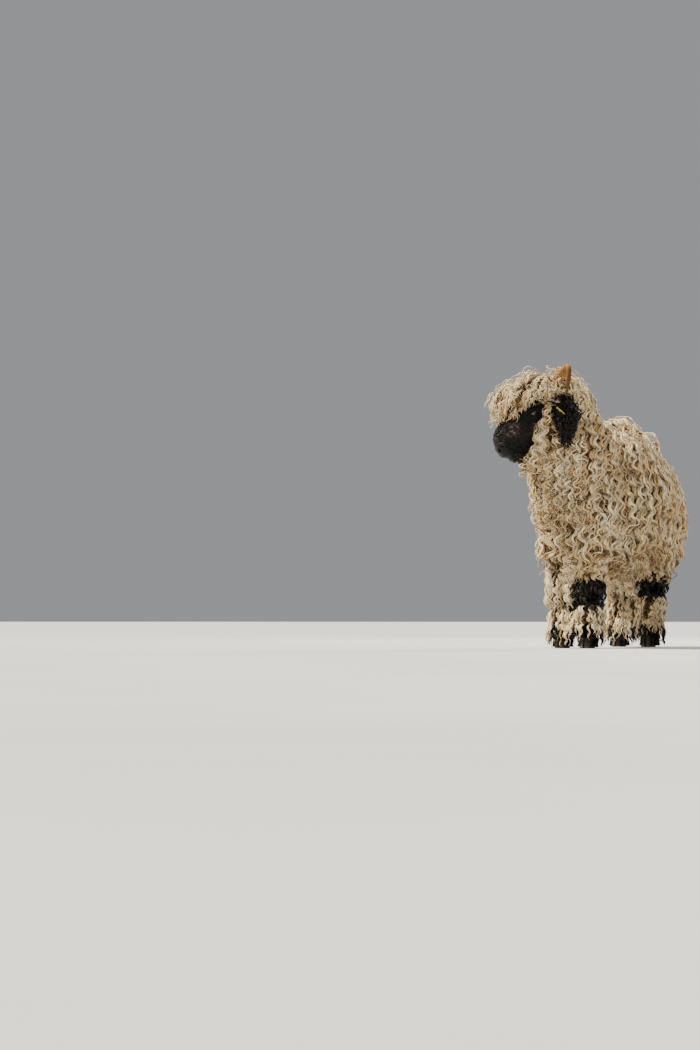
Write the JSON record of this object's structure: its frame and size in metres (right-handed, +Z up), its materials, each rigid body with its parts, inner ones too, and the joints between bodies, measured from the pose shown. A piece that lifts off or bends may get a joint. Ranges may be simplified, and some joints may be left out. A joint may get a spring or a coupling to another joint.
{
  "type": "valais blacknose sheep",
  "caption": "Long-wooled sheep standing square with its head turned to its right: black face, ears, knees, hocks and feet, short curled horns and a blank ear tag.",
  "frame": {"origin": "on the ground, under the middle of the bounding box", "axes": "+Z up; the sheep faces -Y and its left side is +X"},
  "size_m": [0.4184, 1.0334, 0.9231],
  "materials": {
    "fleece": "soft matt cream wool in long wavy locks",
    "black_wool": "matt black wool",
    "face": "black skin under short hair",
    "horn": "ribbed tan horn",
    "hoof": "dark dull horn",
    "eye": "wet amber-brown eye",
    "tag": "smooth yellow plastic, blank"
  },
  "bodies": {
    "root": {"eye_left": "eye", "eye_right": "eye", "head": "face", "horn_left": "horn", "horn_right": "horn", "ear_tag": "tag", "ear_left": "black_wool", "ear_right": "black_wool", "topknot": "fleece", "cheek_left": "fleece", "cheek_right": "fleece", "beard": "fleece", "neck": "fleece", "torso": "fleece", "tail": "fleece", "leg_front_left": "fleece", "knee_front_left": "black_wool", "shank_front_left": "fleece", "pastern_front_left": "black_wool", "hoof_front_left": "hoof", "leg_front_right": "fleece", "knee_front_right": "black_wool", "shank_front_right": "fleece", "pastern_front_right": "black_wool", "hoof_front_right": "hoof", "leg_hind_left": "fleece", "hock_hind_left": "black_wool", "shank_hind_left": "fleece", "pastern_hind_left": "black_wool", "hoof_hind_left": "hoof", "leg_hind_right": "fleece", "hock_hind_right": "black_wool", "shank_hind_right": "fleece", "pastern_hind_right": "black_wool", "hoof_hind_right": "hoof"}
  },
  "joints": []
}
